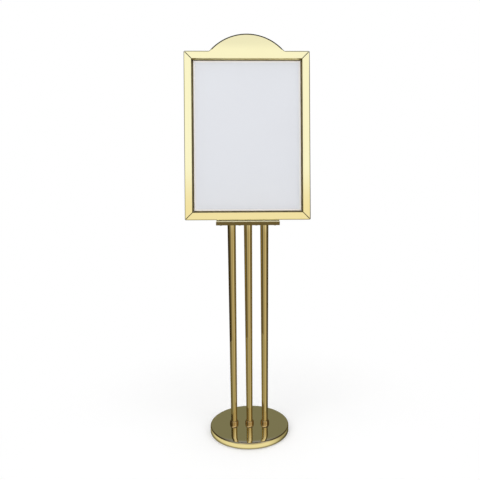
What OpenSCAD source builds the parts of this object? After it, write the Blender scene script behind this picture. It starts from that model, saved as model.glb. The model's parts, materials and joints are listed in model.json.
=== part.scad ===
// Lobby information sign: round base, three tapered poles, folded head and a
// front-opening picture frame that leans back. Origin at the centre of the base,
// on the floor. The frame faces -Y.

/* [Base] */
// Diameter of the base cover
base_d = 321; // [280:1:360]
// Height of the base above the floor
base_h = 30; // [26:1:40]
// Wall of the spun base cover
base_wall = 1.5; // [1:0.1:2]
// Outer radius of the base cover's upper edge
base_edge_r = 5; // [3:0.5:8]
// Width of the edge rolled inwards at the foot of the cover
base_roll = 5; // [3:0.5:8]
// Thickness of the rubber floor pad
pad_t = 3; // [2:0.5:4]
// How far the floor pad stays inside the cover's outer edge
pad_inset = 7; // [6:0.5:12]
// Gap between the weight and the cover's rolled edge
weight_gap = 1; // [0.5:0.5:3]

/* [Poles] */
// Visible length of a pole, from the base to the head
pole_len = 836; // [600:1:1000]
// Diameter of a pole at its top
pole_top_d = 32; // [28:0.5:38]
// Diameter of a pole at its foot
pole_foot_d = 25; // [22:0.5:30]
// Wall of a pole
pole_wall = 1.5; // [1:0.1:2]
// Distance between neighbouring poles
pole_pitch = 63; // [60:0.5:75]
// Diameter of a foot collar
collar_d = 36; // [33:0.5:44]
// Height of a foot collar
collar_h = 15; // [10:0.5:22]
// Height of the straight band at the foot of a collar
collar_band = 2.5; // [1:0.5:5]
// Width of the flat ring on top of a collar
collar_top = 1.4; // [1:0.1:2]
// Height of the plugs in the pole ends
plug_h = 20; // [12:1:40]

/* [Tie rods] */
// Diameter of a tie rod
rod_d = 8; // [6:0.5:8]
// Width across the corners of a nut
nut_d = 15; // [13:0.5:16]
// Height of a nut
nut_h = 6.5; // [4:0.5:6.5]
// Diameter of a washer
washer_d = 18; // [16:0.5:20]
// Thickness of a washer
washer_t = 1.2; // [0.8:0.1:1.2]
// Depth of the pockets for the nuts under the weight
pocket_depth = 13; // [10:0.5:16]
// Diameter of the pockets for the nuts under the weight
pocket_d = 22; // [21:0.5:28]

/* [Head] */
// Width of the head
head_w = 244; // [220:1:300]
// Height of the head's front lip
head_h = 14; // [14:0.5:20]
// How far the head reaches in front of the pole axes
head_reach = 18; // [18:0.5:30]
// Sheet of the folded cradle
cradle_t = 2; // [1.5:0.1:2.2]
// Bend radius of the cradle's front edge
cradle_bend = 1; // [0.5:0.5:2.5]
// Height of the flange behind the frame
flange_h = 38; // [30:1:60]
// Thickness of the plate on the pole tops
head_plate_t = 3; // [2:0.5:3]

/* [Frame] */
// Width of the frame
frame_w = 485; // [450:1:520]
// Height of the frame without its crest
frame_h = 650; // [630:1:700]
// Depth of the frame
frame_t = 18; // [18:0.5:24]
// Angle by which the frame leans back
lean = 12; // [4:0.5:16]
// Position of the frame's lower front edge behind the pole axes
frame_y = 4; // [4:0.5:12]
// Clearance between a swinging cover and the head below it
swing_gap = 0.5; // [0.3:0.1:2]
// Width of the flat face of a cover
face_w = 28.5; // [27:0.5:32]
// Width of the lip that slopes back to the panel
lip_w = 7.5; // [6:0.5:10]
// Sheet of a cover
skin_t = 1.6; // [1.2:0.1:1.8]
// Radius of a cover's outer edge
edge_r = 3.5; // [2.5:0.1:3.5]
// Gap between two covers at a mitre
mitre_gap = 1.2; // [0.8:0.1:1.5]
// Clearance between two open covers at a corner
corner_gap = 0.5; // [0.3:0.1:2]

/* [Crest] */
// Width of the crest where it meets the frame
crest_w = 288; // [240:1:300]
// Height of the crest above the frame
crest_h = 66; // [50:1:80]
// Radius of the blend between the crest and the frame
crest_blend = 6; // [5:1:20]
// Thickness of the crest
crest_t = 3; // [2:0.1:3]

/* [Hinges] */
// Distance of a hinge axis from the frame's outer edge
pivot_in = 6.2; // [6.2:0.1:7]
// Depth of a hinge axis behind the frame's face
pivot_deep = 7.6; // [7.6:0.1:8]
// Diameter of the bead that a cover turns on
bead_d = 3.8; // [3:0.1:4]
// Gap between a bead and its socket
bead_gap = 0.3; // [0.2:0.05:0.4]
// Wall of the socket
socket_t = 1.4; // [1.2:0.1:1.4]
// How far a cover opens
cover_open = 90; // [60:1:90]
// Thickness of the arm between a cover and its bead
arm_t = 1.5; // [1.2:0.1:1.8]
// Distance of a cover's inner leg from the frame's outer edge
leg_in = 19.5; // [19:0.5:20]
// Depth of the leg's edge behind the frame's face
leg_deep = 9; // [8:0.5:9]
// Distance of the ends of a bead and its leg from the frame's corners
bead_inset = 24; // [23:1:40]

/* [Rails] */
// Wall of a rail
rail_wall = 1.6; // [1.2:0.1:2]
// Thickness of a rail's back
rail_back = 2; // [1.5:0.1:2.5]
// Width of a rail's back
rail_w = 40; // [38:0.5:50]
// Thickness of a corner key
key_t = 2.5; // [2:0.1:2.5]
// Width of a corner key's arm
key_w = 13; // [11:0.5:13]
// Length of a corner key's arm
key_len = 62; // [56:1:64]
// Distance of the cover springs from the frame's corners
spring_inset = 84; // [80:1:100]
// Length of a cover spring along its rail
spring_len = 24; // [16:1:26]
// Thickness of a cover spring
spring_t = 0.8; // [0.5:0.1:1]
// Distance of a cover spring's foot from the frame's outer edge
spring_in = 8; // [7:0.5:10]
// How far a cover spring's blade leans away from the cover's leg
spring_splay = 1.8; // [1:0.1:2.5]
// Length of the nut strip
strip_len = 230; // [220:1:240]
// Width of the nut strip
strip_w = 12; // [10:0.5:12]

/* [Panel] */
// Distance of the sheets' sides from the frame's outer edge
side_in = 32.5; // [31.5:0.5:33]
// Distance of the sheets' top and bottom from the frame's outer edge
end_in = 28; // [27:0.5:30]
// Thickness of the insert sheet
insert_t = 0.6; // [0.3:0.1:1]
// Thickness of the clear sheet
clear_t = 1.5; // [1:0.1:2]
// Thickness of the back panel
back_t = 3; // [2:0.5:3]
// Gap between the lips and the clear sheet
lip_gap = 0.3; // [0.2:0.1:0.6]
// Gap round the sheets in their pocket
pocket_gap = 0.6; // [0.3:0.1:1]

/* [Screws] */
// Diameter of the screws of the head and the frame
screw_d = 4; // [3:0.5:4]
// Diameter of their heads
screw_head_d = 7.6; // [6.5:0.1:8]
// Height of their heads
screw_head_h = 2.2; // [1.5:0.1:2.6]
// Diameter of the corner key screws
key_screw_d = 3; // [2:0.5:3]
// Diameter of their heads
key_head_d = 5.6; // [5:0.1:6]
// Height of their heads
key_head_h = 1.6; // [1:0.1:1.6]
// Distance of a key's outer screw from the end of its arm
key_screw_end = 9; // [5:0.5:12]
// Distance between a key's two screws on one arm
key_screw_pitch = 24; // [12:0.5:26]
// Length of the head's screws under their heads
head_screw_len = 8; // [6:0.5:9]
// Distance from the middle to the inner screws of the head and frame
screw_in = 32; // [30:0.5:33]
// Distance from the middle to the outer screws of the head and frame
screw_out = 104; // [100:0.5:106]
// Height of the frame screws above the frame's lower edge
screw_rise = 15; // [14:0.5:16]
// Diameter of the bosses in the head
boss_d = 9; // [8:0.5:10]
// Distance of the bosses in front of the pole axes
boss_front = 10; // [9:0.5:12]

/* [Hidden] */
$fn = 96;

fit = 0.1;         // gap of pieces that fit closely
hole_gap = 0.5;    // radial gap of a rod in a drilled plate
thread_gap = 0.05; // radial gap that stands for a thread
eps = 0.1;         // overlap of shapes within one solid
over = 1;          // how far a cut runs past the solid it cuts

// An open cover's outer edge stands this far inside the frame, so behind its face each cover ends short of that
corner_cut = pivot_in - pivot_deep + edge_r + corner_gap;

// The lower cover's rounded edge sweeps this far round its hinge, so the frame stands clear of the head
swing_r = norm([pivot_in - edge_r, pivot_deep - edge_r]) + edge_r;
frame_gap = swing_r - pivot_in + swing_gap;

head_bottom = base_h + pole_len;
head_top = head_bottom + head_h;
frame_z = head_top + frame_gap;
pole_x = [-pole_pitch, 0, pole_pitch];
screw_x = [-screw_out, -screw_in, screw_in, screw_out];

// Depths behind the frame's face, from the back forwards
web_y = frame_t - rail_back;
panel_y = web_y - back_t;
insert_y = panel_y - insert_t;
clear_y = insert_y - clear_t;
lip_y = clear_y - lip_gap;

// Hinge socket and the rail's outer wall
socket_r = bead_d / 2 + bead_gap;
ring_r = socket_r + socket_t;
wall_in = pivot_in - ring_r;

// The arm leaves the bead at this angle from straight ahead, towards the window
arm_angle = 29;
mouth_play = 9; // degrees that the socket's mouth is wider than the arm's swing, each side
mouth_half = cover_open / 2 + asin(arm_t / 2 / socket_r) + mouth_play;
mouth_middle = arm_angle - cover_open / 2 - 90;

// Crest circle and its blends, measured from the middle of the frame's top edge
crest_r = (crest_w * crest_w / 4 + crest_h * crest_h) / (2 * crest_h);
crest_cz = crest_h - crest_r;
blend_x = sqrt(pow(crest_r + crest_blend, 2) - pow(crest_blend - crest_cz, 2));
blend_angle = atan2(crest_blend - crest_cz, blend_x);

function arc(cx, cy, r, from, to, steps) =
    [for (i = [0 : steps]) let (a = from + (to - from) * i / steps) [cx + r * cos(a), cy + r * sin(a)]];

function pole_r(z) = (pole_foot_d + (pole_top_d - pole_foot_d) * z / pole_len) / 2;

// A point of the leaning frame, [depth, height], as [y, z]
function leaning(depth, height) =
    [frame_y + depth * cos(lean) + height * sin(lean), frame_z - depth * sin(lean) + height * cos(lean)];

module lean_back() {
    translate([0, frame_y, frame_z]) rotate([-lean, 0, 0]) children();
}

// Base

module rounded_slab(r, h, edge) {
    square([r - edge, h]);
    square([r, h - edge]);
    translate([r - edge, h - edge]) circle(edge);
}

module base_cover() {
    r = base_d / 2;
    h = base_h - pad_t;
    color("goldenrod") difference() {
        translate([0, 0, pad_t]) rotate_extrude($fn = 256) {
            difference() {
                intersection() {
                    rounded_slab(r, h, base_edge_r);
                    square([r, h]);
                }
                translate([0, -eps])
                    rounded_slab(r - base_wall, h - base_wall + eps, base_edge_r - base_wall);
            }
            translate([r - base_roll, 0]) square([base_roll - base_wall / 2, base_wall]);
        }
        for (x = pole_x) translate([x, 0, 0]) cylinder(h = base_h + over, r = rod_d / 2 + hole_gap);
    }
}

module base_weight() {
    r = base_d / 2 - base_roll - weight_gap;
    color("dimgray") difference() {
        translate([0, 0, pad_t]) cylinder(h = base_h - pad_t - base_wall, r = r, $fn = 192);
        for (x = pole_x) translate([x, 0, 0]) {
            cylinder(h = base_h, r = rod_d / 2 + hole_gap);
            cylinder(h = pad_t + pocket_depth, d = pocket_d);
        }
    }
}

module floor_pad() {
    color("black") cylinder(h = pad_t, r = base_d / 2 - pad_inset, $fn = 192);
}

module foot_collar(x) {
    bore = pole_r(collar_h) + fit;
    top = bore + collar_top;
    rise = collar_h - collar_band;
    bulge = [for (i = [0 : 12]) let (a = 90 * i / 12)
        [top + (collar_d / 2 - top) * cos(a), collar_band + rise * sin(a)]];
    color("goldenrod") translate([x, 0, base_h])
        rotate_extrude() polygon(concat([[bore, 0], [collar_d / 2, 0]], bulge, [[bore, collar_h]]));
}

// Poles

module pole(x) {
    color("gold") translate([x, 0, base_h]) difference() {
        cylinder(h = pole_len, r1 = pole_r(0), r2 = pole_r(pole_len));
        translate([0, 0, -over]) cylinder(h = pole_len + 2 * over,
            r1 = pole_r(-over) - pole_wall, r2 = pole_r(pole_len + over) - pole_wall);
    }
}

module plug(x, z) {
    color("silver") translate([x, 0, base_h + z]) difference() {
        cylinder(h = plug_h, r1 = pole_r(z) - pole_wall - fit, r2 = pole_r(z + plug_h) - pole_wall - fit);
        translate([0, 0, -over]) cylinder(h = plug_h + 2 * over, r = rod_d / 2 + fit);
    }
}

module foot_plugs() {
    for (x = pole_x) plug(x, 0);
}

module top_plugs() {
    for (x = pole_x) plug(x, pole_len - plug_h);
}

base_washer_z = pad_t + pocket_depth - washer_t;
head_washer_z = head_bottom + head_plate_t;
rod_end = 0.4; // length of rod that stands out of a nut

module tie_rod(x) {
    low = base_washer_z - nut_h - rod_end;
    high = head_washer_z + washer_t + nut_h + rod_end;
    color("silver") translate([x, 0, low]) cylinder(h = high - low, d = rod_d);
}

module nuts(z) {
    color("silver") for (x = pole_x) translate([x, 0, z]) difference() {
        cylinder(h = nut_h, d = nut_d, $fn = 6);
        translate([0, 0, -over]) cylinder(h = nut_h + 2 * over, r = rod_d / 2 + thread_gap);
    }
}

module washers(z) {
    color("silver") for (x = pole_x) translate([x, 0, z]) difference() {
        cylinder(h = washer_t, d = washer_d);
        translate([0, 0, -over]) cylinder(h = washer_t + 2 * over, r = rod_d / 2 + fit);
    }
}

module base_nuts() { nuts(base_washer_z - nut_h); }
module base_washers() { washers(base_washer_z); }
module head_nuts() { nuts(head_washer_z + washer_t); }
module head_washers() { washers(head_washer_z); }

// Head

head_front = -head_reach;
head_back = leaning(frame_t + cradle_t, -frame_gap)[0];

// The crease where the head's flat top turns down under the frame, at a depth below the surface
function crease(below) = [frame_y - (frame_gap + below) * tan(lean / 2), head_top - below];

module head_plate() {
    inset = cradle_t + fit;
    color("silver") difference() {
        translate([inset - head_w / 2, head_front + inset, head_bottom])
            cube([head_w - 2 * inset, head_back - head_front - 2 * inset, head_plate_t]);
        for (x = pole_x) translate([x, 0, head_bottom - over])
            cylinder(h = head_plate_t + 2 * over, r = rod_d / 2 + hole_gap);
        for (x = screw_x) translate([x, -boss_front, head_bottom - over])
            cylinder(h = head_plate_t + 2 * over, r = screw_d / 2 + fit);
    }
}

// Extrudes a [y, z] outline along X
module along_x(length) {
    rotate([90, 0, 90]) linear_extrude(height = length, center = true) children();
}

module cradle_fold() {
    inner_y = head_back - cradle_t;
    inner_depth = (inner_y - frame_y + (frame_gap + cradle_t) * sin(lean)) / cos(lean);
    polygon(concat(
        [[head_front, head_bottom]],
        arc(head_front + cradle_bend, head_top - cradle_bend, cradle_bend, 180, 90, 6),
        [crease(0), leaning(frame_t, -frame_gap), leaning(frame_t, flange_h),
            leaning(frame_t + cradle_t, flange_h), leaning(frame_t + cradle_t, -frame_gap),
            [head_back, head_bottom], [inner_y, head_bottom],
            leaning(inner_depth, -frame_gap - cradle_t), crease(cradle_t),
            [head_front + cradle_t, head_top - cradle_t], [head_front + cradle_t, head_bottom]]));
}

module cradle_end() {
    polygon(concat(
        [[head_front, head_bottom]],
        arc(head_front + cradle_bend, head_top - cradle_bend, cradle_bend, 180, 90, 6),
        [crease(0), leaning(frame_t, -frame_gap), leaning(frame_t + cradle_t, -frame_gap),
            [head_back, head_bottom]]));
}

module head_cradle() {
    boss_low = head_bottom + head_plate_t;
    color("goldenrod") difference() {
        union() {
            along_x(head_w) cradle_fold();
            for (side = [-1, 1]) translate([side * (head_w - cradle_t) / 2, 0, 0])
                along_x(cradle_t) cradle_end();
            for (x = screw_x) translate([x, -boss_front, boss_low])
                cylinder(h = head_top - cradle_t + eps - boss_low, d = boss_d);
        }
        for (x = screw_x) translate([x, -boss_front, boss_low - over])
            cylinder(h = head_top - cradle_t - boss_low, r = screw_d / 2 + thread_gap);
        lean_back() for (x = screw_x) translate([x, frame_t - over, screw_rise]) rotate([-90, 0, 0])
            cylinder(h = cradle_t + 2 * over, r = screw_d / 2 + fit);
    }
}

module screw(length, d, head_d, head_h) {
    cylinder(h = length, d = d);
    translate([0, 0, -head_h]) cylinder(h = head_h, d = head_d);
}

module head_screws() {
    color("silver") for (x = screw_x) translate([x, -boss_front, head_bottom])
        screw(head_screw_len, screw_d, screw_head_d, screw_head_h);
}

// Frame. A rail or a cover is drawn as an outline of [distance in from the outer edge, depth],
// run along X with its outer edge down, and then turned to its side of the frame.

module run(length) {
    rotate([0, -90, 0]) linear_extrude(height = length, center = true) children();
}

module mitred(length, width, gap) {
    deep = frame_t + 2 * over;
    half = length / 2 - gap / sqrt(2);
    intersection() {
        children();
        translate([0, deep - over, 0]) rotate([90, 0, 0]) linear_extrude(height = deep)
            polygon([[-half, 0], [half, 0], [half - width, width], [width - half, width]]);
    }
}

module on_bottom() {
    lean_back() children();
}

module on_top() {
    lean_back() translate([0, 0, frame_h]) mirror([0, 0, 1]) children();
}

module on_left() {
    lean_back() translate([-frame_w / 2, 0, frame_h / 2]) rotate([0, 90, 0]) children();
}

module on_right() {
    lean_back() mirror([1, 0, 0]) translate([-frame_w / 2, 0, frame_h / 2]) rotate([0, 90, 0]) children();
}

module rail_outline(sheet_in) {
    reach = 2 * ring_r;
    difference() {
        translate([pivot_in, pivot_deep]) circle(ring_r);
        translate([pivot_in, pivot_deep]) circle(socket_r);
        translate([pivot_in, pivot_deep]) polygon(concat([[0, 0]],
            arc(0, 0, reach, mouth_middle - mouth_half, mouth_middle + mouth_half, 8)));
    }
    difference() {
        translate([wall_in, pivot_deep]) square([rail_wall, frame_t - pivot_deep]);
        translate([pivot_in, pivot_deep]) circle(socket_r + socket_t / 2);
    }
    translate([wall_in, web_y]) square([rail_w - wall_in, rail_back]);
    translate([sheet_in - pocket_gap - rail_wall, clear_y]) square([rail_wall, frame_t - clear_y]);
}

rail_joint = 0.1; // gap between two rails at a mitre

module rail(length, sheet_in) {
    mitred(length, rail_w + over, rail_joint) run(length) rail_outline(sheet_in);
}

key_y = web_y - key_t;
key_in = wall_in + rail_wall + fit;
key_screw_far = key_in + key_len - key_screw_end;
key_screw_at = [key_screw_far - key_screw_pitch, key_screw_far];

// Repeats a shape at the four corners; it is drawn in the lower left one
module at_corners() {
    lean_back() translate([0, 0, frame_h / 2]) for (mx = [0, 1], mz = [0, 1])
        mirror([mx, 0, 0]) mirror([0, 0, mz]) translate([-frame_w / 2, 0, -frame_h / 2]) children();
}

// Repeats a shape at a corner key's two screws, with +Z pointing back
module at_key_screws() {
    for (a = key_screw_at) {
        translate([a, key_y, key_in + key_w / 2]) rotate([-90, 0, 0]) children();
        translate([key_in + key_w / 2, key_y, a]) rotate([-90, 0, 0]) children();
    }
}

module key_holes() {
    at_corners() at_key_screws() translate([0, 0, -over])
        cylinder(h = key_t + rail_back + 2 * over, r = key_screw_d / 2 + fit);
}

module frame_screw_holes() {
    lean_back() for (x = screw_x) translate([x, web_y - over, screw_rise]) rotate([-90, 0, 0])
        cylinder(h = rail_back + 2 * over, r = screw_d / 2 + fit);
}

module rail_top() {
    color("darkkhaki") difference() {
        on_top() rail(frame_w, end_in);
        key_holes();
    }
}

module rail_bottom() {
    color("darkkhaki") difference() {
        on_bottom() rail(frame_w, end_in);
        key_holes();
        frame_screw_holes();
    }
}

module rail_left() {
    color("darkkhaki") difference() {
        on_left() rail(frame_h, side_in);
        key_holes();
    }
}

module rail_right() {
    color("darkkhaki") difference() {
        on_right() rail(frame_h, side_in);
        key_holes();
    }
}

module corner_keys() {
    color("silver") at_corners() difference() {
        union() {
            translate([key_in, key_y, key_in]) cube([key_len, key_t, key_w]);
            translate([key_in, key_y, key_in]) cube([key_w, key_t, key_len]);
        }
        at_key_screws() translate([0, 0, -over]) cylinder(h = key_t + 2 * over, r = key_screw_d / 2 + fit);
    }
}

module key_screws() {
    color("silver") at_corners() at_key_screws()
        screw(key_t + rail_back, key_screw_d, key_head_d, key_head_h);
}

module nut_strip() {
    color("silver") lean_back() difference() {
        translate([-strip_len / 2, key_y, screw_rise - strip_w / 2]) cube([strip_len, key_t, strip_w]);
        for (x = screw_x) translate([x, key_y - over, screw_rise]) rotate([-90, 0, 0])
            cylinder(h = key_t + 2 * over, r = screw_d / 2 + thread_gap);
    }
}

module frame_screws() {
    length = key_t + rail_back + cradle_t;
    color("silver") lean_back() for (x = screw_x) translate([x, frame_t + cradle_t, screw_rise])
        rotate([90, 0, 0]) screw(length, screw_d, screw_head_d, screw_head_h);
}

// Covers

lip_len = norm([lip_w, lip_y]);
lip_shift = skin_t / lip_len;

// A point on the lip's hidden side, at a depth
function lip_back(depth) =
    [face_w - lip_y * lip_shift + lip_w * (depth - lip_w * lip_shift) / lip_y, depth];

arm_len = (pivot_deep - skin_t / 2) / cos(arm_angle);

module skin_outline() {
    polygon(concat(
        arc(edge_r, edge_r, edge_r, 180, 270, 8),
        [[face_w, 0], [face_w + lip_w, lip_y], lip_back(lip_y), lip_back(skin_t)],
        arc(edge_r, edge_r, edge_r - skin_t, 270, 180, 8)));
}

// The bead with its arm, and the leg that the springs act on
module bead_outline() {
    translate([pivot_in, pivot_deep]) {
        circle(d = bead_d, $fn = 48);
        rotate(arm_angle) translate([-arm_t / 2, -arm_len]) square([arm_t, arm_len]);
    }
    translate([leg_in, skin_t - eps]) square([skin_t, leg_deep - skin_t + eps]);
}

module cover(length) {
    difference() {
        mitred(length, face_w + lip_w + over, mitre_gap) run(length) skin_outline();
        for (side = [-1, 1]) translate([side * length / 2, skin_t, -over])
            translate([-corner_cut, 0, 0]) cube([2 * corner_cut, edge_r, edge_r + over]);
    }
    run(length - 2 * bead_inset) bead_outline();
}

module crest_outline() {
    low = -edge_r - over;
    polygon(concat(
        [[blend_x, low]],
        arc(blend_x, crest_blend, crest_blend, 270, 180 + blend_angle, 8),
        arc(0, crest_cz, crest_r, blend_angle, 180 - blend_angle, 60),
        arc(-blend_x, crest_blend, crest_blend, -blend_angle, -90, 8),
        [[-blend_x, low]]));
}

module cover_top() {
    color("gold") union() {
        on_top() cover(frame_w);
        lean_back() translate([0, crest_t, frame_h]) rotate([90, 0, 0])
            linear_extrude(height = crest_t) crest_outline();
    }
}

module cover_bottom() { color("gold") on_bottom() cover(frame_w); }
module cover_left() { color("gold") on_left() cover(frame_h); }
module cover_right() { color("gold") on_right() cover(frame_h); }

spring_gap = 0.4; // between a spring's tip and the cover's leg

spring_lap = 0.8; // how far a spring's blade reaches beside the leg

module spring_outline() {
    tip = leg_in + skin_t + spring_gap;
    heel = tip + spring_splay;
    translate([spring_in, web_y - spring_t]) square([heel - spring_in, spring_t]);
    polygon([[heel - spring_t, web_y - spring_t / 2], [heel, web_y - spring_t / 2],
        [tip + spring_t, leg_deep - spring_lap], [tip, leg_deep - spring_lap]]);
}

module spring_pair(length) {
    for (side = [-1, 1]) translate([side * (length / 2 - spring_inset), 0, 0])
        run(spring_len) spring_outline();
}

module cover_springs() {
    color("gray") {
        on_top() spring_pair(frame_w);
        on_bottom() spring_pair(frame_w);
        on_left() spring_pair(frame_h);
        on_right() spring_pair(frame_h);
    }
}

// Panel

module sheet(y, t) {
    width = frame_w - 2 * side_in;
    height = frame_h - 2 * end_in;
    lean_back() translate([-width / 2, y, end_in]) cube([width, t, height]);
}

module back_panel() { color("whitesmoke") sheet(panel_y, back_t); }
module insert_sheet() { color("lavender") sheet(insert_y, insert_t); }
module clear_sheet() { color([0.9, 0.95, 1, 0.4]) sheet(clear_y, clear_t); }

base_cover();
base_weight();
floor_pad();
foot_collar(pole_x[0]);  // foot_collar_left
foot_collar(pole_x[1]);  // foot_collar_center
foot_collar(pole_x[2]);  // foot_collar_right
pole(pole_x[0]);  // pole_left
pole(pole_x[1]);  // pole_center
pole(pole_x[2]);  // pole_right
tie_rod(pole_x[0]);  // tie_rod_left
tie_rod(pole_x[1]);  // tie_rod_center
tie_rod(pole_x[2]);  // tie_rod_right
foot_plugs();
top_plugs();
base_nuts();
base_washers();
head_nuts();
head_washers();
head_plate();
head_cradle();
head_screws();
rail_top();
rail_bottom();
rail_left();
rail_right();
corner_keys();
key_screws();
cover_top();
cover_bottom();
cover_left();
cover_right();
cover_springs();
back_panel();
insert_sheet();
clear_sheet();
nut_strip();
frame_screws();
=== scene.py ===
import json
from math import atan2, cos, degrees, pi, radians, sin

import bmesh
import bpy
from mathutils import Matrix, Vector

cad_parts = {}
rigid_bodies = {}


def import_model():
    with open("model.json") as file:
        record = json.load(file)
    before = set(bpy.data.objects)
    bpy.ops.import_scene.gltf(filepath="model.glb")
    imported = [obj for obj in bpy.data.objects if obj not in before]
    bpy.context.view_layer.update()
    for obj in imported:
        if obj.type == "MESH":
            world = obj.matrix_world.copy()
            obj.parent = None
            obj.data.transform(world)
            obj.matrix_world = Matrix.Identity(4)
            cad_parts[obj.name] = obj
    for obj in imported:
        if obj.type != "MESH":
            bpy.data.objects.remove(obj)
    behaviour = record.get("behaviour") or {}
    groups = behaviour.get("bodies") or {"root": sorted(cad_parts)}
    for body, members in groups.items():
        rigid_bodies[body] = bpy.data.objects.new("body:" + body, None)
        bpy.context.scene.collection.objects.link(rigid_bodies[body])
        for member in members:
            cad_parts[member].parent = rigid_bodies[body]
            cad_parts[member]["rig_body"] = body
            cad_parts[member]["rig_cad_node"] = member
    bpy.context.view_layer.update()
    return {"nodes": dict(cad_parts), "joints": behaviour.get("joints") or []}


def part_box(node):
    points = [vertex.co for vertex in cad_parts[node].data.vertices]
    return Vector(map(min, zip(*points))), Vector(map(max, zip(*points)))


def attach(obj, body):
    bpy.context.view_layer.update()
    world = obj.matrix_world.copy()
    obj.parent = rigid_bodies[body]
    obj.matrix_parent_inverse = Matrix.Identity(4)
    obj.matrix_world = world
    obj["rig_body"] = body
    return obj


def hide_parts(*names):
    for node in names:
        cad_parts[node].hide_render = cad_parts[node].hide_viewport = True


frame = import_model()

# the leaning frame, found from the hinges of its covers
hingeSeat = {"fromEdge": 0.0062, "fromFace": 0.0076}  # where a hinge axis lies in the frame
hinges = {joint["name"]: Vector(joint["pos_m"]) for joint in frame["joints"]}
lowHinge = hinges["bottom_cover_hinge"]
highHinge = hinges["top_cover_hinge"]
upward = (highHinge - lowHinge).normalized()
backward = Vector((0, upward.z, -upward.y))
frameFoot = lowHinge - upward * hingeSeat["fromEdge"] - backward * hingeSeat["fromFace"]
frameHeight = (highHinge - frameFoot).dot(upward) + hingeSeat["fromEdge"]
frameWidth = 2 * (hinges["right_cover_hinge"].x + hingeSeat["fromEdge"])
lean = atan2(upward.y, upward.z)
straight = 0.9  # a face points a given way when its normal agrees with that way this far
print("frame leans back %.1f degrees" % degrees(lean))


def inFrame(point):  # across, behind the face, and up from the frame's lower edge
    offset = point - frameFoot
    return Vector((offset.x, offset.dot(backward), offset.dot(upward)))


def fromSides(point):  # how far in from the nearer side, and from the nearer end, of the frame
    place = inFrame(point)
    return frameWidth / 2 - abs(place.x), min(place.z, frameHeight - place.z)


# selecting, shaping and finishing a piece

smoothing = {"sharpFrom": 32, "bevelFrom": 35}  # angles between faces, in degrees
cadMesh = {"merge": 0.00002, "flat": 0.5}  # a CAD node's loose triangles are merged and made flat faces


def deselectAll():
    if bpy.context.mode != "OBJECT":
        bpy.ops.object.mode_set(mode="OBJECT")
    bpy.ops.object.select_all(action="DESELECT")


def activate(piece):
    deselectAll()
    piece.select_set(True)
    bpy.context.view_layer.objects.active = piece


def selectParts(kind, test):
    bpy.ops.mesh.select_mode(type=kind)
    bpy.ops.mesh.select_all(action="DESELECT")
    edit = bmesh.from_edit_mesh(bpy.context.edit_object.data)
    edit.normal_update()
    for part in {"EDGE": edit.edges, "FACE": edit.faces}[kind]:
        part.select_set(test(part))
    edit.select_flush_mode()
    bmesh.update_edit_mesh(bpy.context.edit_object.data)


def applyModifiers(piece):
    activate(piece)
    for modifier in list(piece.modifiers):
        bpy.ops.object.modifier_apply(modifier=modifier.name)


def bevelEdges(piece, width, segments=2, angle=smoothing["bevelFrom"]):
    bevel = piece.modifiers.new("edges", "BEVEL")
    bevel.width = width
    bevel.segments = segments
    bevel.limit_method = "ANGLE"
    bevel.angle_limit = radians(angle)
    bevel.miter_outer = "MITER_ARC"
    bevel.use_clamp_overlap = True
    applyModifiers(piece)


def addWall(piece, thickness):  # the drawn shell is the outside
    wall = piece.modifiers.new("wall", "SOLIDIFY")
    wall.thickness = thickness
    wall.offset = -1
    applyModifiers(piece)


def growRing(newRadius, oldRadius, rise, middle=0):  # the selected ring goes up, and out or in
    bpy.ops.mesh.extrude_region_move(TRANSFORM_OT_translate={"value": (0, 0, rise)})
    share = newRadius / oldRadius
    bpy.ops.transform.resize(value=(share, share, 1), center_override=(middle, 0, 0))


def roundOver(outer, inner, height, steps, middle=0):  # a quarter turn, from upright to level
    reached, risen = outer, 0.0
    for number in range(1, steps + 1):
        angle = pi / 2 * number / steps
        nextRadius = inner + (outer - inner) * cos(angle)
        nextRise = height * sin(angle)
        growRing(nextRadius, reached, nextRise - risen, middle)
        reached, risen = nextRadius, nextRise


def finishPiece(piece, name, body, materials, nodes):
    activate(piece)
    bpy.ops.object.transform_apply(location=True, rotation=True, scale=True)
    bpy.ops.object.shade_smooth_by_angle(angle=radians(smoothing["sharpFrom"]))
    weighted = piece.modifiers.new("weighted", "WEIGHTED_NORMAL")
    weighted.keep_sharp = True
    bpy.ops.object.modifier_apply(modifier=weighted.name)
    piece.name = name
    piece.data.name = name
    piece.data.materials.clear()
    for material in materials:
        piece.data.materials.append(material)
    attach(piece, body)
    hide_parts(*nodes)
    return piece


def dressNode(node, name, body, material, bevel, segments=2, shape=None):
    source = frame["nodes"][node]
    piece = source.copy()
    piece.data = source.data.copy()
    piece.parent = None
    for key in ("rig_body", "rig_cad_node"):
        del piece[key]
    bpy.context.scene.collection.objects.link(piece)
    activate(piece)
    bpy.ops.mesh.customdata_custom_splitnormals_clear()
    bpy.ops.object.mode_set(mode="EDIT")
    bpy.ops.mesh.select_all(action="SELECT")
    bpy.ops.mesh.remove_doubles(threshold=cadMesh["merge"])
    bpy.ops.mesh.dissolve_limited(angle_limit=radians(cadMesh["flat"]))
    if shape:
        shape()
    bpy.ops.object.mode_set(mode="OBJECT")
    bevelEdges(piece, bevel, segments)
    return finishPiece(piece, name, body, [material], [node])


# node trees; an input is given a plain value, or another node's output

def feed(tree, node, inputs):
    for label, value in inputs.items():
        if hasattr(value, "is_output"):
            tree.links.new(value, node.inputs[label])
        else:
            node.inputs[label].default_value = value


def addNode(tree, kind, inputs=None, **settings):
    node = tree.nodes.new(kind)
    for key, value in settings.items():
        setattr(node, key, value)
    feed(tree, node, inputs or {})
    return node


def addNoise(tree, place, scale, detail, roughness=0.5):
    noise = addNode(tree, "ShaderNodeTexNoise",
                    {"Vector": place, "Scale": scale, "Detail": detail, "Roughness": roughness})
    return noise.outputs["Fac"]


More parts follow.
